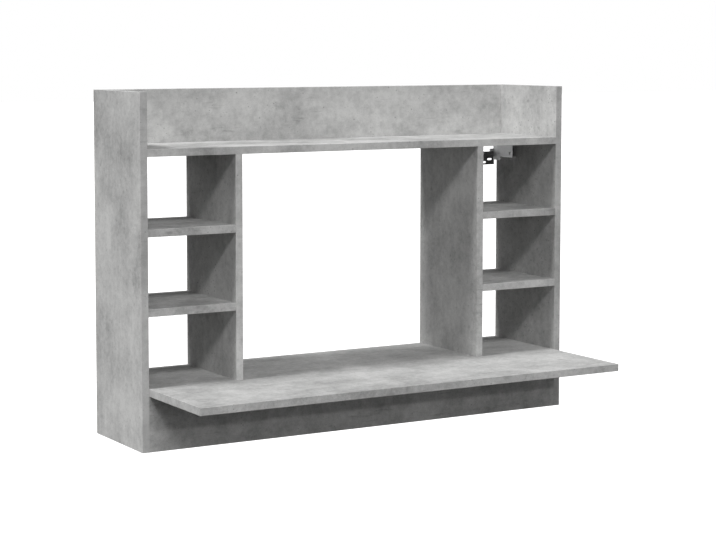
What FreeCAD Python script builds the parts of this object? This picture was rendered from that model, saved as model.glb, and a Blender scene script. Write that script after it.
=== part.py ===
import FreeCAD, Part
import os

Vector = FreeCAD.Vector

# Cabinet and boards, in millimetres
width = 1000.0
cabinet_depth = 225.0
desktop_overhang = 225.0
board_thickness = 15.0
plinth_height = 110.0
bay_height = 140.0
bay_width = 190.0
back_panel_height = 110.0
edging_thickness = 0.5
edging_radius = 0.4

# Fastener rows: distance from the front edge and from the wall
row_setback = 37.0
dowel_corner_setback = 22.0
rail_dowel_spacing = 300.0

# Cam locks and cam bolts
cam_diameter = 15.0
cam_setback = 34.0
cam_floor = 3.0
cam_clearance = 0.1
cam_drive_length = 9.0
cam_drive_width = 1.6
cam_drive_depth = 3.0
bolt_shank_diameter = 6.0
bolt_neck_diameter = 4.0
bolt_neck_length = 5.0
bolt_head_length = 4.0
bolt_floor = 4.0
bolt_fit = 0.05
bolt_head_room = 0.5

# Wooden dowels
dowel_diameter = 8.0
dowel_length = 30.0
dowel_floor = 4.0
dowel_chamfer = 1.0
dowel_fit = 0.05
dowel_end_room = 0.5

# Screws from below the desktop into the dividers
screw_diameter = 7.0
screw_length = 50.0
screw_head_diameter = 10.0
screw_head_height = 3.0
screw_socket_diameter = 4.0
screw_socket_depth = 2.2
screw_fit = 0.05

# Hanger case: a folded steel channel on the side panel, under the top shelf, with its fixing leg cut short
case_length = 74.0
case_wall_gap = 5.0
case_width = 12.5
case_height = 36.0
case_shelf_gap = 1.0
case_sheet = 1.5
case_bend_radius = 2.0
case_skirt_length = 26.0
case_skirt_drop = 8.0
case_leg_setback = 18.0
access_hole_diameter = 6.5
front_hole_inset = 9.5

# Screws that hold the hanger case
case_screw_diameter = 4.0
case_screw_depth = 11.0
case_screw_inset = 9.5
case_screw_spacing = 22.5
case_screw_head_diameter = 6.0
case_screw_head_height = 2.2
case_screw_fit = 0.05

# Hook that slides in the case
hook_sheet = 3.0
hook_travel = 5.0
hook_end_gap = 1.0
hook_side_clearance = 0.3
hook_nut_length = 14.0
hook_nut_setback = 20.0
hook_wall_gap = 1.5
hook_tab_height = 12.0
hook_tab_drop = 2.5
hook_tab_reach = 8.0

# Height screw that lifts the hook
height_screw_diameter = 5.0
height_screw_journal = 4.0
height_screw_clearance = 0.1
height_screw_slot_width = 1.0
height_screw_slot_depth = 1.2

# Wall plate that the hook's tab drops into
plate_length = 60.0
plate_tail = 6.0
plate_height = 30.0
plate_sheet = 2.0
plate_bend_radius = 2.5
plate_lip_height = 6.0
plate_pocket = 6.0
plate_case_gap = 1.5
plate_slot_spacing = 42.0
plate_slot_length = 13.0
plate_slot_width = 4.5
plate_slot_height = 18.0
plate_long_slot_length = 23.0
plate_long_slot_drop = 6.5

# Levels from the middle of the back panel, which is the origin
top_shelf_top = -back_panel_height / 2
top_shelf_z = top_shelf_top - board_thickness
upper_shelf_z = top_shelf_z - bay_height - board_thickness
lower_shelf_z = upper_shelf_z - bay_height - board_thickness
desktop_z = lower_shelf_z - bay_height - board_thickness
bottom_z = desktop_z - plinth_height
top_z = back_panel_height / 2

# Places across the width and depth
half_width = width / 2
inner_half = half_width - board_thickness
divider_outer = inner_half - bay_width
divider_inner = divider_outer - board_thickness
front_y = -cabinet_depth
desktop_front_y = front_y - desktop_overhang
front_row = front_y + row_setback
back_row = -row_setback
middle_row = front_y / 2
half_board = board_thickness / 2

UP = Vector(0, 0, 1)
DOWN = Vector(0, 0, -1)
REAR = Vector(0, 1, 0)

cores = {}
edgings = {}
bores = {}
dowels = []
cams = []
bolts = []
divider_screws = []


def box(x_range, y_range, z_range):
    """A block between two corners, whichever way round they are given."""
    low = Vector(min(x_range), min(y_range), min(z_range))
    high = Vector(max(x_range), max(y_range), max(z_range))
    size = high - low
    return Part.makeBox(size.x, size.y, size.z, low)


def rod(diameter, start, direction, length):
    return Part.makeCylinder(diameter / 2, length, start, direction)


def stepped_rod(start, direction, steps):
    """One turned solid from (diameter, length) steps along a line."""
    pieces = []
    place = start
    for diameter, length in steps:
        pieces.append(rod(diameter, place, direction, length))
        place = place + direction * length
    return pieces[0].multiFuse(pieces[1:]).removeSplitter()


def rounded_strip(strip, axis, outside):
    """An edge band with the rim of its outer face rounded over, as a trimmed band is."""
    radius = min(edging_radius, 0.9 * edging_thickness)
    rim = []
    for edge in strip.Edges:
        places = [tuple(vertex.Point)[axis] for vertex in edge.Vertexes]
        if all(abs(place - outside) < radius / 2 for place in places):
            rim.append(edge)
    return strip.makeFillet(radius, rim)


def bent(sheet, axis, corners, radius):
    """A folded sheet with the edges that run along an axis through these corners rounded."""
    across = [place for place in range(3) if place != axis]
    folds = []
    for edge in sheet.Edges:
        start, end = [tuple(vertex.Point) for vertex in edge.Vertexes]
        for corner in corners:
            targets = list(zip(across, corner))
            gaps = [abs(point[place] - target) for point in (start, end) for place, target in targets]
            if max(gaps) < radius / 10:
                folds.append(edge)
    return sheet.makeFillet(radius, folds)


def add_board(name, x_range, y_range, z_range, banded):
    """A board whose banded edges are strips taken off its nominal block, in order."""
    ranges = [sorted(x_range), sorted(y_range), sorted(z_range)]
    sides = {
        "left": (0, 0), "right": (0, 1), "front": (1, 0),
        "back": (1, 1), "bottom": (2, 0), "top": (2, 1),
    }
    strips = []
    for side in banded:
        axis, end = sides[side]
        inward = -edging_thickness if end else edging_thickness
        strip = [list(limits) for limits in ranges]
        strip[axis] = [ranges[axis][end], ranges[axis][end] + inward]
        strips.append(rounded_strip(box(*strip), axis, ranges[axis][end]))
        ranges[axis][end] += inward
    cores[name] = box(*ranges)
    edgings[name] = strips
    bores[name] = []


def add_boards():
    for side, hand in ((-1, "left"), (1, "right")):
        add_board(hand + "_side_panel", (side * inner_half, side * half_width),
                  (front_y, 0), (bottom_z, top_z), ("front", "top", "bottom"))
        add_board(hand + "_divider", (side * divider_inner, side * divider_outer),
                  (front_y, 0), (desktop_z + board_thickness, top_shelf_z), ("front",))
        for level, z in (("upper", upper_shelf_z), ("lower", lower_shelf_z)):
            add_board(hand + "_" + level + "_shelf", (side * divider_outer, side * inner_half),
                      (front_y, 0), (z, z + board_thickness), ("front",))
    between = (-inner_half, inner_half)
    add_board("top_shelf", between, (front_y, 0), (top_shelf_z, top_shelf_top), ("front",))
    add_board("back_panel", between, (-board_thickness, 0), (top_shelf_top, top_z), ("top",))
    add_board("desktop", between, (desktop_front_y, 0),
              (desktop_z, desktop_z + board_thickness), ("front", "left", "right"))
    add_board("plinth", between, (front_y, front_y + board_thickness), (bottom_z, desktop_z), ("bottom",))


def dowel_joint(edge_board, face_board, point, into):
    """A dowel across a butt joint, from the edge of one board into the face of the other."""
    face_depth = board_thickness - dowel_floor
    edge_depth = dowel_length - face_depth
    start = point - into * edge_depth
    peg = rod(dowel_diameter, start, into, dowel_length)
    rims = [edge for edge in peg.Edges if edge.Curve.TypeId == "Part::GeomCircle"]
    dowels.append(peg.makeChamfer(dowel_chamfer, rims))
    bore_diameter = dowel_diameter + 2 * dowel_fit
    bores[edge_board].append(rod(bore_diameter, point, into * -1, edge_depth + dowel_end_room))
    bores[face_board].append(rod(bore_diameter, point, into, face_depth + dowel_end_room))


def cam_joint(edge_board, face_board, point, into, cam_face):
    """A cam lock let into a board's face, with the bolt that it draws out of the other board."""
    cam_height = board_thickness - cam_floor
    centre = point - into * cam_setback
    mouth = centre + cam_face * half_board
    channel_diameter = bolt_shank_diameter + 2 * bolt_head_room
    channel = rod(channel_diameter, centre - into * bolt_head_length, into, cam_setback + bolt_head_length)
    across = cam_face.cross(into)
    drive = Part.makeBox(cam_drive_length, cam_drive_width, 2 * cam_drive_depth)
    drive.translate(Vector(-cam_drive_length / 2, -cam_drive_width / 2, -cam_drive_depth))
    seat = FreeCAD.Placement(mouth, FreeCAD.Rotation(into, across, cam_face))
    drive.Placement = seat.multiply(drive.Placement)
    lock = rod(cam_diameter, mouth, cam_face * -1, cam_height)
    cams.append(lock.cut([channel, drive]))
    thread_depth = board_thickness - bolt_floor
    shank_length = cam_setback - bolt_head_length / 2 - bolt_neck_length
    bolts.append(stepped_rod(centre - into * bolt_head_length / 2, into, (
        (bolt_shank_diameter, bolt_head_length),
        (bolt_neck_diameter, bolt_neck_length),
        (bolt_shank_diameter, shank_length - bolt_head_length / 2 + thread_depth),
    )))
    bores[edge_board].append(rod(cam_diameter + 2 * cam_clearance, mouth, cam_face * -1, cam_height))
    bores[edge_board].append(rod(channel_diameter, centre, into, cam_setback))
    bores[face_board].append(rod(bolt_shank_diameter + 2 * bolt_fit, point, into, thread_depth))


def divider_screw(divider, x, y):
    """A headed screw up through the desktop into the lower end of a divider."""
    head = Vector(x, y, desktop_z)
    solid = stepped_rod(head, UP, ((screw_head_diameter, screw_head_height),
                                   (screw_diameter, screw_length - screw_head_height)))
    socket = rod(screw_socket_diameter, head, UP, screw_socket_depth)
    divider_screws.append(solid.cut(socket))
    hole_diameter = screw_diameter + 2 * screw_fit
    bores["desktop"].append(rod(screw_head_diameter + 2 * screw_fit, head, UP, screw_head_height))
    bores["desktop"].append(rod(hole_diameter, head, UP, board_thickness))
    seat = head + UP * board_thickness
    bores[divider].append(rod(hole_diameter, seat, UP, screw_length - board_thickness))


def join_boards():
    for side, hand in ((-1, "left"), (1, "right")):
        panel = hand + "_side_panel"
        divider = hand + "_divider"
        outward = Vector(side, 0, 0)
        inward = Vector(-side, 0, 0)
        for name, z in (("top_shelf", top_shelf_z), ("desktop", desktop_z)):
            for y in (front_row, back_row):
                cam_joint(name, panel, Vector(side * inner_half, y, z + half_board), outward, DOWN)
            dowel_joint(name, panel, Vector(side * inner_half, middle_row, z + half_board), outward)
        for level, z in (("upper", upper_shelf_z), ("lower", lower_shelf_z)):
            shelf = hand + "_" + level + "_shelf"
            for board, x, into in ((panel, inner_half, outward), (divider, divider_outer, inward)):
                cam_joint(shelf, board, Vector(side * x, back_row, z + half_board), into, DOWN)
                dowel_joint(shelf, board, Vector(side * x, front_row, z + half_board), into)
        divider_x = side * (divider_inner + half_board)
        for y in (front_row, back_row):
            dowel_joint(divider, "top_shelf", Vector(divider_x, y, top_shelf_z), UP)
            divider_screw(divider, divider_x, y)
        rails = (("plinth", front_y + half_board, bottom_z, desktop_z),
                 ("back_panel", -half_board, top_shelf_top, top_z))
        for rail, y, low, high in rails:
            cam_joint(rail, panel, Vector(side * inner_half, y, (low + high) / 2), outward, REAR)
            for z in (low + dowel_corner_setback, high - dowel_corner_setback):
                dowel_joint(rail, panel, Vector(side * inner_half, y, z), outward)
    for x in (-rail_dowel_spacing, 0, rail_dowel_spacing):
        dowel_joint("plinth", "desktop", Vector(x, front_y + half_board, desktop_z), UP)
        dowel_joint("back_panel", "top_shelf", Vector(x, -half_board, top_shelf_top), DOWN)


def slot(length, slot_width, centre, depth):
    """A round-ended slot along X, cut through from front to back."""
    straight = length - slot_width
    low = centre - Vector(straight / 2, depth / 2, 0)
    middle = box((low.x, low.x + straight), (low.y, low.y + depth),
                 (centre.z - slot_width / 2, centre.z + slot_width / 2))
    ends = [rod(slot_width, low + Vector(shift, 0, 0), REAR, depth) for shift in (0, straight)]
    return middle.multiFuse(ends)


def right_hanger():
    """The pieces of the right hanger, with its places measured from the panel's inner face."""
    case_x = inner_half - case_width
    case_rear = -case_wall_gap
    case_front = case_rear - case_length
    case_top = top_shelf_z - case_shelf_gap
    case_bottom = case_top - case_height
    inner_x = (case_x + case_sheet, inner_half - case_sheet)
    inner_top = case_top - case_sheet
    inner_bottom = case_bottom + case_sheet
    middle_x = (inner_x[0] + inner_x[1]) / 2

    # Hook: a flat arm with a nut block at its front and a tab bent inwards at the wall
    hook_top = inner_top - hook_travel - hook_end_gap
    hook_bottom = inner_bottom + hook_travel + hook_end_gap
    nut_front = case_front + hook_nut_setback
    nut_rear = nut_front + hook_nut_length
    arm_x = (middle_x - hook_sheet / 2, middle_x + hook_sheet / 2)
    nut_x = (inner_x[0] + hook_side_clearance, inner_x[1] - hook_side_clearance)
    tab_bottom = hook_bottom - hook_tab_drop
    tab_y = (-hook_wall_gap - hook_sheet, -hook_wall_gap)
    screw_axis = Vector(middle_x, (nut_front + nut_rear) / 2, 0)
    nut = box(nut_x, (nut_front, nut_rear), (hook_bottom, hook_top))
    arm = box(arm_x, (nut_rear, -hook_wall_gap), (hook_bottom, hook_top))
    tab = box((case_x - hook_tab_reach, arm_x[1]), tab_y, (tab_bottom, tab_bottom + hook_tab_height))
    nut_bore = rod(height_screw_diameter + 2 * height_screw_clearance,
                   screw_axis + UP * hook_bottom, UP, hook_top - hook_bottom)
    hook = nut.multiFuse([arm, tab]).removeSplitter().cut(nut_bore)

    # Height screw: a threaded stem between two journals in the case's flanges
    stem_bottom = inner_bottom + height_screw_clearance
    stem_top = inner_top - height_screw_clearance
    journal_length = case_sheet + height_screw_clearance
    height_screw = stepped_rod(screw_axis + UP * case_bottom, UP, (
        (height_screw_journal, journal_length),
        (height_screw_diameter, stem_top - stem_bottom),
        (height_screw_journal, journal_length),
    ))
    blade = box((middle_x - height_screw_journal, middle_x + height_screw_journal),
                (screw_axis.y - height_screw_slot_width / 2, screw_axis.y + height_screw_slot_width / 2),
                (case_bottom, case_bottom + height_screw_slot_depth))
    height_screw = height_screw.cut(blade)

    # Case, with a deeper skirt at its rear, a hole near its front and one over each of its two screws
    outer = box((case_x, inner_half), (case_front, case_rear), (case_bottom, case_top))
    outer = bent(outer, 1, [(x, z) for x in (case_x, inner_half) for z in (case_bottom, case_top)],
                 case_bend_radius)
    hollow = box(inner_x, (case_front, case_rear), (inner_bottom, inner_top))
    hollow = bent(hollow, 1, [(x, z) for x in inner_x for z in (inner_bottom, inner_top)],
                  case_bend_radius - case_sheet)
    skirt = box((case_x, inner_x[0]), (case_rear - case_skirt_length, case_rear),
                (case_bottom - case_skirt_drop, case_bottom + case_bend_radius))
    outward = Vector(1, 0, 0)
    leg_front = case_front + case_leg_setback
    leg_notch = box((inner_x[1], inner_half), (case_front, leg_front), (case_bottom, case_top))
    front_corner = Vector(case_x, case_front + front_hole_inset, case_bottom + front_hole_inset)
    front_hole = rod(access_hole_diameter, front_corner, outward, case_sheet)
    journal_hole = rod(height_screw_journal + 2 * height_screw_clearance,
                       screw_axis + UP * case_bottom, UP, case_height)
    cuts = [hollow, leg_notch, front_hole, journal_hole]
    screw_places = [(case_rear - case_screw_inset - shift, case_top - case_screw_inset)
                    for shift in (0, case_screw_spacing)]
    screw_bore = case_screw_diameter + 2 * case_screw_fit
    case_screws = []
    for y, z in screw_places:
        cuts.append(rod(access_hole_diameter, Vector(case_x, y, z), outward, case_sheet))
        cuts.append(rod(screw_bore, Vector(inner_x[1], y, z), outward, case_sheet))
        head = Vector(inner_x[1] - case_screw_head_height, y, z)
        case_screws.append(stepped_rod(head, outward, (
            (case_screw_head_diameter, case_screw_head_height),
            (case_screw_diameter, case_sheet + case_screw_depth),
        )))
    case = outer.fuse(skirt).removeSplitter().cut(cuts)

    # Wall plate: a slotted plate that runs on behind the case, with a lip that makes a pocket for the tab
    plate_right = case_x - plate_case_gap
    plate_x = (plate_right - plate_length, plate_right)
    plate_middle = (plate_x[0] + plate_right + plate_tail) / 2
    ledge_top = tab_bottom
    lip_front = -plate_pocket - plate_sheet
    plate_top = ledge_top + plate_lip_height
    plate_bottom = plate_top - plate_height
    ledge_bottom = ledge_top - plate_sheet
    lip = box(plate_x, (lip_front, -plate_pocket), (ledge_bottom, plate_top))
    ledge = box(plate_x, (-plate_pocket, 0), (ledge_bottom, ledge_top))
    face = box(plate_x, (-plate_sheet, 0), (plate_bottom, ledge_bottom))
    folded = lip.multiFuse([ledge, face]).removeSplitter()
    folded = bent(folded, 0, ((lip_front, ledge_bottom), (0, ledge_top)), plate_bend_radius)
    folded = bent(folded, 0, ((-plate_pocket, ledge_top), (-plate_sheet, ledge_bottom)),
                  plate_bend_radius - plate_sheet)
    tail = box((plate_right, plate_right + plate_tail), (-plate_sheet, 0), (plate_bottom, ledge_bottom))
    slot_z = plate_top - plate_slot_height
    slots = [slot(plate_slot_length, plate_slot_width,
                  Vector(plate_middle + shift, -plate_sheet / 2, slot_z), plate_sheet)
             for shift in (-plate_slot_spacing / 2, plate_slot_spacing / 2)]
    slots.append(slot(plate_long_slot_length, plate_slot_width,
                      Vector(plate_middle, -plate_sheet / 2, slot_z - plate_long_slot_drop), plate_sheet))
    wall_plate = folded.fuse(tail).removeSplitter().cut(slots)

    screw_holes = [rod(screw_bore, Vector(inner_half, y, z), outward, case_screw_depth)
                   for y, z in screw_places]
    pieces = {
        "hanger_case": case,
        "hanger_hook": hook,
        "height_screw": height_screw,
        "wall_plate": wall_plate,
    }
    return pieces, case_screws, screw_holes


def mirrored(shape):
    return shape.mirror(Vector(0, 0, 0), Vector(1, 0, 0))


def export(name, shapes):
    shape = shapes[0] if len(shapes) == 1 else Part.makeCompound(shapes)
    shape.exportStep("parts/" + name + ".step")


def main():
    os.makedirs("parts", exist_ok=True)
    add_boards()
    join_boards()

    pieces, case_screws, screw_holes = right_hanger()
    bores["right_side_panel"] += screw_holes
    bores["left_side_panel"] += [mirrored(hole) for hole in screw_holes]
    for name, shape in pieces.items():
        export("right_" + name, [shape])
        export("left_" + name, [mirrored(shape)])
    export("hanger_screws", case_screws + [mirrored(screw) for screw in case_screws])

    for name, core in cores.items():
        export(name, [core.cut(bores[name])])
        export(name + "_edging", [strip.cut(bores[name]) for strip in edgings[name]])
    export("wood_dowels", dowels)
    export("cam_locks", cams)
    export("cam_bolts", bolts)
    export("divider_screws", divider_screws)


main()
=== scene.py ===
import math

import bpy
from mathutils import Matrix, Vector


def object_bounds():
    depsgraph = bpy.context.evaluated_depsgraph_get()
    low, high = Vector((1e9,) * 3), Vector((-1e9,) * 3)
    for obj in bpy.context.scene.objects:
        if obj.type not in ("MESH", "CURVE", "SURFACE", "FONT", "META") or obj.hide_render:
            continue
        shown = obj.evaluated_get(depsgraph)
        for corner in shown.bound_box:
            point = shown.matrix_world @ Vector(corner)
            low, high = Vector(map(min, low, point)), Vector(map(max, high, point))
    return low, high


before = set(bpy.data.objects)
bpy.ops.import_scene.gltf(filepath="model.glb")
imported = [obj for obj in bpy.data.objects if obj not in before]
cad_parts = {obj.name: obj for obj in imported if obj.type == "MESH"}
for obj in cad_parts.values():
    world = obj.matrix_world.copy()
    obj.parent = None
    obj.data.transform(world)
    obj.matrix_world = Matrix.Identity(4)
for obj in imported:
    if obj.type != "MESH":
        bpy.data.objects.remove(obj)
cad_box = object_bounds()

# Boards that stand upright, with streaks up and down, and boards with streaks from left to right
UPRIGHT_BOARDS = ("left_side_panel", "right_side_panel", "left_divider", "right_divider")
LEVEL_BOARDS = (
    "top_shelf",
    "back_panel",
    "desktop",
    "plinth",
    "left_upper_shelf",
    "right_upper_shelf",
    "left_lower_shelf",
    "right_lower_shelf",
)

# Boards that turn a printed face to the wall or stand away from it, so that no bare core shows
CLOSED_BOARDS = ("back_panel", "plinth")

# Metal and wood fittings by finish
ZINC_NODES = (
    "left_hanger_case",
    "right_hanger_case",
    "left_hanger_hook",
    "right_hanger_hook",
    "left_height_screw",
    "right_height_screw",
    "cam_locks",
    "cam_bolts",
    "divider_screws",
    "hanger_screws",
)
COATED_NODES = ("left_wall_plate", "right_wall_plate")
BEECH_NODES = ("wood_dowels",)

# Tones of each finish from dark to light, as linear light
PRINT_TONES = ((0.30, 0.30, 0.297, 1.0), (0.47, 0.47, 0.466, 1.0), (0.62, 0.62, 0.612, 1.0))
CHIP_TONES = ((0.26, 0.16, 0.085, 1.0), (0.44, 0.31, 0.185, 1.0), (0.60, 0.46, 0.31, 1.0))
ZINC_TONES = ((0.62, 0.625, 0.63, 1.0), (0.74, 0.745, 0.75, 1.0), (0.84, 0.84, 0.835, 1.0))
COAT_TONES = ((0.08, 0.08, 0.082, 1.0), (0.22, 0.22, 0.223, 1.0))
BEECH_TONES = ((0.40, 0.24, 0.13, 1.0), (0.66, 0.47, 0.30, 1.0))
PIT_GREY = (0.20, 0.20, 0.20, 1.0)
WHITE = (1.0, 1.0, 1.0, 1.0)

# Middle of a tone or of a noise that runs from 0 to 1
MIDDLE = 0.5

# Marks of the finishes: metres across, levels of finer detail, and roughness of the detail
CLOUDS = (0.17, 5.0, 0.55)
BLOTCHES = (0.06, 8.0, 0.70)
MOTTLE = (0.010, 5.0, 0.65)
STREAKS = (0.022, 6.0, 0.55)
SPECKLE = (0.0018, 2.0, 0.55)
SCRAPES = (0.009, 3.0, 0.60)
STAINS = (0.012, 4.0, 0.55)
ROLLING_LINES = (0.0009, 3.0, 0.55)
PEBBLES = (0.0011, 2.0, 0.55)
WEAR = (0.009, 4.0, 0.55)
FLECKS = (0.0012, 3.0, 0.55)
GROWTH_BANDS = (0.008, 2.0, 0.55)
COARSE_CHIPS = 0.0028
FINE_CHIPS = 0.0010

# How much each mark adds to the tone, the roughness and the height of its finish
PRINT_TONE = {
    "clouds": 1.7,
    "blotches": 1.45,
    "mottle": 1.0,
    "streaks": 0.5,
    "speckle": 0.55,
    "scrapes": -0.26,
}
PRINT_DULLNESS = {"blotches": 0.35, "speckle": 0.25, "streaks": 0.20}
PRINT_HEIGHT = {"speckle": 0.6, "streaks": 0.8, "pits": -1.0}
CHIP_TONE = {"coarse": 0.5, "fine": 0.5}
ZINC_TONE = {"stains": 0.9, "lines": 0.5}
ZINC_DULLNESS = {"stains": 0.30, "lines": 0.20}
COAT_TONE = {"pebbles": 0.6, "wear": 0.9}
BEECH_TONE = {"flecks": 1.0, "bands": 0.6}

# Roughness of each finish: its middle, or its values at the dark and the light tone
PRINT_ROUGHNESS = 0.74
ZINC_ROUGHNESS = 0.66
COAT_ROUGHNESS = (0.38, 0.62)
BEECH_ROUGHNESS = (0.55, 0.75)

# Relief of each finish: strength, and depth in metres
PRINT_RELIEF = (0.25, 0.0003)
ZINC_RELIEF = (0.15, 0.0001)
COAT_RELIEF = (0.35, 0.0002)
BEECH_RELIEF = (0.20, 0.0001)

# Mirror gloss of the print, and how metallic the zinc is
PRINT_GLOSS = 0.03
ZINC_METAL = 0.5

# Scales along X, Y and Z that draw marks out, under 1, or press them flat, over 1
UPRIGHT_STREAKS = (1.0, 1.0, 0.2)
LEVEL_STREAKS = (0.4, 1.0, 1.0)
UPRIGHT_CHIPS = (2.2, 1.0, 1.0)
LEVEL_CHIPS = (1.0, 1.0, 2.2)
SCRAPE_LENGTH = (0.12, 1.0, 1.0)
LINE_LENGTH = (1.0, 0.06, 1.0)
FLECK_LENGTH = (0.15, 1.0, 1.0)

# Scrapes of the print: turn about each axis, and the span of their noise over which they come in
SCRAPE_TURN = (0.3, 0.5, 0.2)
SCRAPE_SPAN = (0.11, 0.20)

# Pits of the print: metres apart, share of places without one, and largest radius in metres
LARGE_PITS = (0.015, 0.3, 0.0022)
SMALL_PITS = (0.0065, 0.2, 0.0019)
PIT_RIM = 0.06
PIT_STRENGTH = 0.6

# Small pits gather where blotches are light: span of the blotches, and strength at its two ends
PIT_CLUSTERS = (0.0, 0.10, 0.1, 0.9)

# Where the boards' stretches of the print begin, in steps, and the metres in a step
PRINT_START = 72
PRINT_STARTS = {"plinth": 48}
PRINT_STEPS = (0.37, 0.53, 0.71)

# How much lighter or darker each board's stretch of the print is, as steps along its tones: partly the
# print's own tone from board to board, partly painted shade on the shelves, top shelf and desktop, which
# are made darker, and painted light on the side panels, dividers and back panel, which are made lighter
PRINT_AND_PAINTED_SHADE_LIGHTNESS = {
    "left_side_panel": 0.12,
    "right_side_panel": 0.11,
    "left_divider": 0.10,
    "right_divider": 0.14,
    "back_panel": 0.16,
    "plinth": -0.03,
    "top_shelf": -0.12,
    "desktop": -0.16,
    "left_upper_shelf": -0.10,
    "left_lower_shelf": -0.10,
    "right_upper_shelf": -0.26,
    "right_lower_shelf": -0.20,
}

# The same for edge bands that differ from their board's face: partly the bands' own tone, partly painted
# light on the bands made lighter and painted shade on those made darker
BAND_PRINT_AND_PAINTED_SHADE_LIGHTNESS = {
    "left_side_panel": 0.04,
    "right_side_panel": -0.03,
    "left_divider": 0.20,
    "right_divider": 0.05,
    "top_shelf": 0.06,
    "desktop": 0.08,
    "left_lower_shelf": 0.0,
    "right_upper_shelf": -0.20,
    "right_lower_shelf": 0.0,
}

# How strongly the print's marks show, with the boards and edge bands where they are fainter
FULL_CONTRAST = 1.0
PRINT_CONTRAST = {"desktop": 0.8}
BAND_CONTRAST = {"left_side_panel": 0.7, "right_side_panel": 0.7}

# The core is bare on faces that lie behind this depth, which is the wall less a hair
BARE_DEPTH = -0.0003

# Light that falls on the desk, as shares of the light that shows a colour as it is written
AMBIENT_SHARE = 0.265
SIDE_SHARE = 0.84
FRONT_SHARE = 0.45
LOW_SHARE = 0.08
REAR_SHARE = 0.36

# Ways that the lamps shine, and their spread in degrees
SIDE_TRAVEL = (0.54, 0.0, -0.84)
SIDE_SPREAD = 15.0
FRONT_TRAVELS = [(across, 1.0, -0.85) for across in (0.10, 0.22, 0.34, 0.46, 0.58)]
FRONT_SPREAD = 9.0
LOW_TRAVEL = (0.0, 1.0, -0.315)
LOW_SPREAD = 2.0
REAR_TRAVEL = (-0.75, -0.65, -0.02)
REAR_SPREAD = 10.0

# How many times the boards pass a lamp's light on
LAMP_BOUNCES = 12
REAR_BOUNCES = 0

# Floor: metres below the desk, metres along a side, and how it looks and lights
FLOOR_DROP = 0.625
FLOOR_SIDE = 80.0
FLOOR_GLOW = 0.45
FLOOR_PALE = (0.80, 0.80, 0.80, 1.0)
FLOOR_BOUNCE = (0.12, 0.12, 0.12, 1.0)
FLOOR_ROUGHNESS = 0.9

# Camera of the photograph: metres, degrees of turn to the right and tilt down, and millimetres
CAMERA_PLACE = (-2.0089, -3.5788, 0.1471)
CAMERA_TURN = 30.103
CAMERA_TILT = 4.623
CAMERA_LENS = 96.23
CAMERA_SENSOR = 36.0
CAMERA_SHIFT = (0.0293, -0.10)

# Sockets of the Mix node when it mixes colours
MIX_SHARE = 0
MIX_FIRST = 6
MIX_SECOND = 7
MIX_RESULT = 2

# Kinds of socket on the groups
VECTOR = "NodeSocketVector"
NUMBER = "NodeSocketFloat"
COLOUR = "NodeSocketColor"
FINISH_OUTPUTS = {"Colour": COLOUR, "Roughness": NUMBER, "Height": NUMBER}


# Node building

def connect(tree, value, socket):
    """Feeds a socket from another socket, or sets its own value."""
    if isinstance(value, bpy.types.NodeSocket):
        tree.links.new(value, socket)
    else:
        socket.default_value = value


def add_node(tree, kind, settings=None, **inputs):
    """A node with its settings and its named inputs."""
    made = tree.nodes.new(kind)
    for name, value in (settings or {}).items():
        setattr(made, name, value)
    for name, value in inputs.items():
        connect(tree, value, made.inputs[name])
    return made


def calculate(tree, operation, first, second):
    """The result of one sum of two values."""
    made = add_node(tree, "ShaderNodeMath", {"operation": operation})
    connect(tree, first, made.inputs[0])
    connect(tree, second, made.inputs[1])
    return made.outputs[0]


def remap(tree, value, low, high, to_low, to_high):
    """A value carried from one span to another, and held inside it."""
    made = add_node(tree, "ShaderNodeMapRange", {"clamp": True}, Value=value)
    for name, number in zip(("From Min", "From Max", "To Min", "To Max"), (low, high, to_low, to_high)):
        made.inputs[name].default_value = number
    return made.outputs["Result"]


def mix_colours(tree, share, first, second):
    """The first colour where share is 0 and the second where it is 1."""
    made = add_node(tree, "ShaderNodeMix", {"data_type": "RGBA"})
    connect(tree, share, made.inputs[MIX_SHARE])
    connect(tree, first, made.inputs[MIX_FIRST])
    connect(tree, second, made.inputs[MIX_SECOND])
    return made.outputs[MIX_RESULT]


def colour_ramp(tree, value, tones):
    """A colour read from tones that are spaced evenly from 0 to 1."""
    made = add_node(tree, "ShaderNodeValToRGB", Fac=value)
    elements = made.color_ramp.elements
    while len(elements) < len(tones):
        elements.new(1.0)
    for number, (element, tone) in enumerate(zip(elements, tones)):
        element.position = number / (len(tones) - 1)
        element.color = tone
    return made.outputs["Color"]


def noise(tree, place, size, detail, roughness):
    """Cloudy noise whose patches are about size metres across, centred on zero."""
    made = add_node(
        tree, "ShaderNodeTexNoise", Vector=place, Scale=1.0 / size, Detail=detail, Roughness=roughness
    )
    return calculate(tree, "SUBTRACT", made.outputs["Fac"], MIDDLE)


def cells(tree, place, size):
    """Cells about size metres across: a number drawn for each, and the distance from its centre."""
    made = add_node(tree, "ShaderNodeTexVoronoi", Vector=place, Scale=1.0 / size)
    draw = add_node(tree, "ShaderNodeSeparateColor", Color=made.outputs["Color"])
    return draw.outputs["Red"], made.outputs["Distance"]


def add_up(tree, marks, weights, middle=None):
    """The sum of the marks that have a weight, around a middle value where one is given."""
    total = middle
    for name, weight in weights.items():
        part = calculate(tree, "MULTIPLY", marks[name], weight)
        total = part if total is None else calculate(tree, "ADD", total, part)
    return total


def new_group(name, inputs, outputs):
    """An empty node group with its named sockets."""
    tree = bpy.data.node_groups.new(name, "ShaderNodeTree")
    for socket_name, kind in inputs.items():
        tree.interface.new_socket(socket_name, in_out="INPUT", socket_type=kind)
    for socket_name, kind in outputs.items():
        tree.interface.new_socket(socket_name, in_out="OUTPUT", socket_type=kind)
    return tree, tree.nodes.new("NodeGroupInput"), tree.nodes.new("NodeGroupOutput")


def place_group(tree, group, **inputs):
    """A group placed in a material."""
    return add_node(tree, "ShaderNodeGroup", {"node_tree": group}, **inputs)


def new_material(name):
    """A material with its shader, ready for its finish."""
    material = bpy.data.materials.new(name)
    material.use_nodes = True
    tree = material.node_tree
    return material, tree, tree.nodes["Principled BSDF"]


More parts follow.
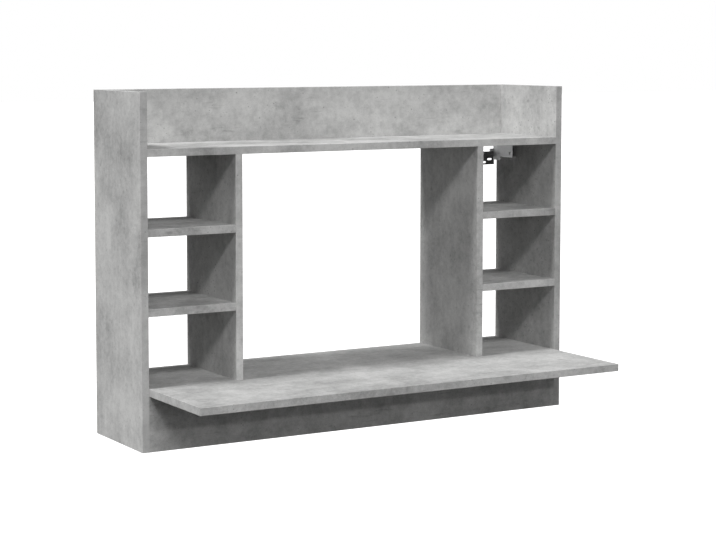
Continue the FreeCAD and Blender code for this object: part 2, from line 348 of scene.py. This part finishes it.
def dress(tree, shader, colour, roughness, height, relief):
    """Colour, roughness and relief of a surface from its nodes."""
    strength, depth = relief
    bump = add_node(tree, "ShaderNodeBump", Height=height, Strength=strength, Distance=depth)
    tree.links.new(colour, shader.inputs["Base Color"])
    tree.links.new(roughness, shader.inputs["Roughness"])
    tree.links.new(bump.outputs["Normal"], shader.inputs["Normal"])


def own_place(tree):
    """The piece's own coordinates."""
    return add_node(tree, "ShaderNodeTexCoord").outputs["Object"]


def moved(tree, place, offset):
    """A place moved along, so that no two boards share a stretch of a pattern."""
    return add_node(tree, "ShaderNodeMapping", Vector=place, Location=offset).outputs["Vector"]


def drawn_out(tree, place, scales, turn=(0.0, 0.0, 0.0)):
    """A place turned and scaled, so that marks there run long or lie flat."""
    made = add_node(tree, "ShaderNodeMapping", Vector=place, Rotation=turn, Scale=scales)
    return made.outputs["Vector"]


# Shared effects

def pit_marks(tree, place, spacing, rarity, reach):
    """Small round pits about spacing metres apart, each larger or smaller by chance, up to reach."""
    draw, distance = cells(tree, place, spacing)
    own_reach = remap(tree, draw, rarity, 1.0, 0.0, reach / spacing)
    depth = calculate(tree, "SUBTRACT", own_reach, distance)
    return remap(tree, depth, 0.0, PIT_RIM, 0.0, 1.0)


def make_concrete_print():
    """Grey concrete printed on melamine: clouds, blotches, streaks, scrapes, speckle and small pits."""
    inputs = {"Place": VECTOR, "Grain": VECTOR, "Lightness": NUMBER, "Contrast": NUMBER}
    tree, start, end = new_group("concrete_print", inputs, FINISH_OUTPUTS)
    place = start.outputs["Place"]
    marks = {
        "clouds": noise(tree, place, *CLOUDS),
        "blotches": noise(tree, place, *BLOTCHES),
        "mottle": noise(tree, place, *MOTTLE),
        "streaks": noise(tree, start.outputs["Grain"], *STREAKS),
        "speckle": noise(tree, place, *SPECKLE),
    }
    scrapes = noise(tree, drawn_out(tree, place, SCRAPE_LENGTH, SCRAPE_TURN), *SCRAPES)
    marks["scrapes"] = remap(tree, scrapes, *SCRAPE_SPAN, 0.0, 1.0)
    clusters = remap(tree, marks["blotches"], *PIT_CLUSTERS)
    small_pits = calculate(tree, "MULTIPLY", pit_marks(tree, place, *SMALL_PITS), clusters)
    marks["pits"] = calculate(tree, "MAXIMUM", pit_marks(tree, place, *LARGE_PITS), small_pits)
    tone = calculate(tree, "MULTIPLY", add_up(tree, marks, PRINT_TONE), start.outputs["Contrast"])
    tone = calculate(tree, "ADD", tone, start.outputs["Lightness"])
    tone = calculate(tree, "ADD", tone, MIDDLE)
    pit_share = calculate(tree, "MULTIPLY", marks["pits"], PIT_STRENGTH)
    colour = mix_colours(tree, pit_share, colour_ramp(tree, tone, PRINT_TONES), PIT_GREY)
    tree.links.new(colour, end.inputs["Colour"])
    tree.links.new(add_up(tree, marks, PRINT_DULLNESS, PRINT_ROUGHNESS), end.inputs["Roughness"])
    tree.links.new(add_up(tree, marks, PRINT_HEIGHT), end.inputs["Height"])
    return tree


def make_chip_core():
    """Pressed wood chips in the open edge of a board: coarse ones, with fine ones between them."""
    tree, start, end = new_group("chip_core", {"Place": VECTOR}, {"Colour": COLOUR})
    place = start.outputs["Place"]
    coarse, _ = cells(tree, place, COARSE_CHIPS)
    fine, _ = cells(tree, place, FINE_CHIPS)
    tone = add_up(tree, {"coarse": coarse, "fine": fine}, CHIP_TONE)
    tree.links.new(colour_ramp(tree, tone, CHIP_TONES), end.inputs["Colour"])
    return tree


# Finishes

def print_finish(name, board, offset, lightness, contrast, concrete):
    """Printed melamine in a stretch of the print of its own."""
    material, tree, shader = new_material(name)
    place = moved(tree, own_place(tree), offset)
    streaks = UPRIGHT_STREAKS if board in UPRIGHT_BOARDS else LEVEL_STREAKS
    grain = drawn_out(tree, place, streaks)
    face = place_group(
        tree, concrete, Place=place, Grain=grain, Lightness=lightness, Contrast=contrast
    ).outputs
    dress(tree, shader, face["Colour"], face["Roughness"], face["Height"], PRINT_RELIEF)
    shader.inputs["Specular IOR Level"].default_value = PRINT_GLOSS
    return material, tree, shader


def bare_rear_edge(tree, shader, board, offset, core):
    """Pressed chips, flat along the board, in place of the print on its open edge at the wall."""
    place = own_place(tree)
    chip_scales = UPRIGHT_CHIPS if board in UPRIGHT_BOARDS else LEVEL_CHIPS
    chips = place_group(tree, core, Place=drawn_out(tree, moved(tree, place, offset), chip_scales))
    depth = add_node(tree, "ShaderNodeSeparateXYZ", Vector=place).outputs["Y"]
    bare = calculate(tree, "GREATER_THAN", depth, BARE_DEPTH)
    printed = shader.inputs["Base Color"].links[0].from_socket
    colour = mix_colours(tree, bare, printed, chips.outputs["Colour"])
    tree.links.new(colour, shader.inputs["Base Color"])


def zinc_finish():
    """Bright zinc of the hangers and fasteners: fine rolling lines and soft stains."""
    material, tree, shader = new_material("zinc_plated_steel")
    place = own_place(tree)
    marks = {
        "stains": noise(tree, place, *STAINS),
        "lines": noise(tree, drawn_out(tree, place, LINE_LENGTH), *ROLLING_LINES),
    }
    colour = colour_ramp(tree, add_up(tree, marks, ZINC_TONE, MIDDLE), ZINC_TONES)
    roughness = add_up(tree, marks, ZINC_DULLNESS, ZINC_ROUGHNESS)
    dress(tree, shader, colour, roughness, marks["lines"], ZINC_RELIEF)
    shader.inputs["Metallic"].default_value = ZINC_METAL
    return material


def coat_finish():
    """Black powder coat of the wall plates, with its fine pebbled skin."""
    material, tree, shader = new_material("black_powder_coat")
    place = own_place(tree)
    marks = {"pebbles": noise(tree, place, *PEBBLES), "wear": noise(tree, place, *WEAR)}
    tone = add_up(tree, marks, COAT_TONE, MIDDLE)
    roughness = remap(tree, tone, 0.0, 1.0, *COAT_ROUGHNESS)
    dress(tree, shader, colour_ramp(tree, tone, COAT_TONES), roughness, marks["pebbles"], COAT_RELIEF)
    return material


def beech_finish():
    """Pale beech of the dowels, with short flecks along the grain."""
    material, tree, shader = new_material("beech_dowel")
    place = own_place(tree)
    marks = {
        "flecks": noise(tree, drawn_out(tree, place, FLECK_LENGTH), *FLECKS),
        "bands": noise(tree, place, *GROWTH_BANDS),
    }
    tone = add_up(tree, marks, BEECH_TONE, MIDDLE)
    roughness = remap(tree, tone, 0.0, 1.0, *BEECH_ROUGHNESS)
    dress(tree, shader, colour_ramp(tree, tone, BEECH_TONES), roughness, marks["flecks"], BEECH_RELIEF)
    return material


def paint(node, material):
    """One finish on a whole node."""
    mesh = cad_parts[node].data
    mesh.materials.clear()
    mesh.materials.append(material)


def finish_boards():
    """Each board and its edge bands in their own stretch of the print."""
    concrete = make_concrete_print()
    core = make_chip_core()
    for number, board in enumerate(UPRIGHT_BOARDS + LEVEL_BOARDS):
        start = PRINT_STARTS.get(board, PRINT_START)
        offset = [step * (start + number) for step in PRINT_STEPS]
        # The board's lightness is partly its print's tone and partly painted light and shade
        lightness = PRINT_AND_PAINTED_SHADE_LIGHTNESS[board]
        contrast = PRINT_CONTRAST.get(board, FULL_CONTRAST)
        material, tree, shader = print_finish(
            board + "_concrete", board, offset, lightness, contrast, concrete
        )
        if board not in CLOSED_BOARDS:
            bare_rear_edge(tree, shader, board, offset, core)
        paint(board, material)
        # The edge bands' lightness is partly their print's tone and partly painted light and shade
        lightness = BAND_PRINT_AND_PAINTED_SHADE_LIGHTNESS.get(board, lightness)
        contrast = BAND_CONTRAST.get(board, FULL_CONTRAST)
        band, _, _ = print_finish(board + "_band", board, offset, lightness, contrast, concrete)
        paint(board + "_edging", band)


def finish_fittings():
    """Zinc, black coat and beech on the hangers and fasteners."""
    finishes = ((ZINC_NODES, zinc_finish()), (COATED_NODES, coat_finish()), (BEECH_NODES, beech_finish()))
    for nodes, material in finishes:
        for node in nodes:
            paint(node, material)


# Studio

def seen_directly(tree):
    """1 for rays from the camera, and for rays mirrored or let through to it."""
    path = add_node(tree, "ShaderNodeLightPath")
    seen = calculate(tree, "MAXIMUM", path.outputs["Is Camera Ray"], path.outputs["Is Glossy Ray"])
    return calculate(tree, "MAXIMUM", seen, path.outputs["Is Transmission Ray"])


def light_world():
    """A white backdrop to the eye, which lights the desk less than it shows."""
    world = bpy.data.worlds.new("studio")
    bpy.context.scene.world = world
    world.use_nodes = True
    tree = world.node_tree
    backdrop = tree.nodes["Background"]
    backdrop.inputs["Color"].default_value = WHITE
    strength = remap(tree, seen_directly(tree), 0.0, 1.0, AMBIENT_SHARE, 1.0)
    tree.links.new(strength, backdrop.inputs["Strength"])


def lay_floor():
    """A pale floor that stays white to the eye and keeps the desk's shadow."""
    low = cad_box[0].z - FLOOR_DROP
    bpy.ops.mesh.primitive_plane_add(size=FLOOR_SIDE, location=(0.0, 0.0, low))
    floor = bpy.context.object
    floor.name = "floor"
    material, tree, shader = new_material("pale_floor")
    seen = seen_directly(tree)
    tree.links.new(mix_colours(tree, seen, FLOOR_BOUNCE, FLOOR_PALE), shader.inputs["Base Color"])
    tree.links.new(calculate(tree, "MULTIPLY", seen, FLOOR_GLOW), shader.inputs["Emission Strength"])
    shader.inputs["Emission Color"].default_value = WHITE
    shader.inputs["Roughness"].default_value = FLOOR_ROUGHNESS
    shader.inputs["Specular IOR Level"].default_value = 0.0
    floor.data.materials.append(material)


def add_sun(name, travel, share, spread, bounces=LAMP_BOUNCES):
    """A soft far lamp that shines along travel, and whose light is passed on up to bounces times."""
    lamp = bpy.data.lights.new(name, "SUN")
    lamp.energy = share * math.pi
    lamp.angle = math.radians(spread)
    lamp.cycles.max_bounces = bounces
    holder = bpy.data.objects.new(name, lamp)
    holder.rotation_euler = Vector(travel).to_track_quat("-Z", "Y").to_euler()
    bpy.context.collection.objects.link(holder)


def hang_lamps():
    """A strong lamp high on the left, a row at the front left, a low front one and a rear one."""
    add_sun("side_lamp", SIDE_TRAVEL, SIDE_SHARE, SIDE_SPREAD)
    for number, travel in enumerate(FRONT_TRAVELS):
        add_sun(f"front_lamp_{number}", travel, FRONT_SHARE / len(FRONT_TRAVELS), FRONT_SPREAD)
    add_sun("low_lamp", LOW_TRAVEL, LOW_SHARE, LOW_SPREAD)
    add_sun("rear_lamp", REAR_TRAVEL, REAR_SHARE, REAR_SPREAD, REAR_BOUNCES)


def set_camera():
    """The photograph's view."""
    lens = bpy.data.cameras.new("camera")
    lens.sensor_width = CAMERA_SENSOR
    lens.lens = CAMERA_LENS
    lens.shift_x, lens.shift_y = CAMERA_SHIFT
    camera = bpy.data.objects.new("camera", lens)
    camera.location = CAMERA_PLACE
    camera.rotation_euler = (math.radians(90.0 - CAMERA_TILT), 0.0, math.radians(-CAMERA_TURN))
    bpy.context.collection.objects.link(camera)
    bpy.context.scene.camera = camera
    bpy.context.scene.view_settings.view_transform = "Standard"


finish_boards()
finish_fittings()
light_world()
lay_floor()
hang_lamps()
set_camera()
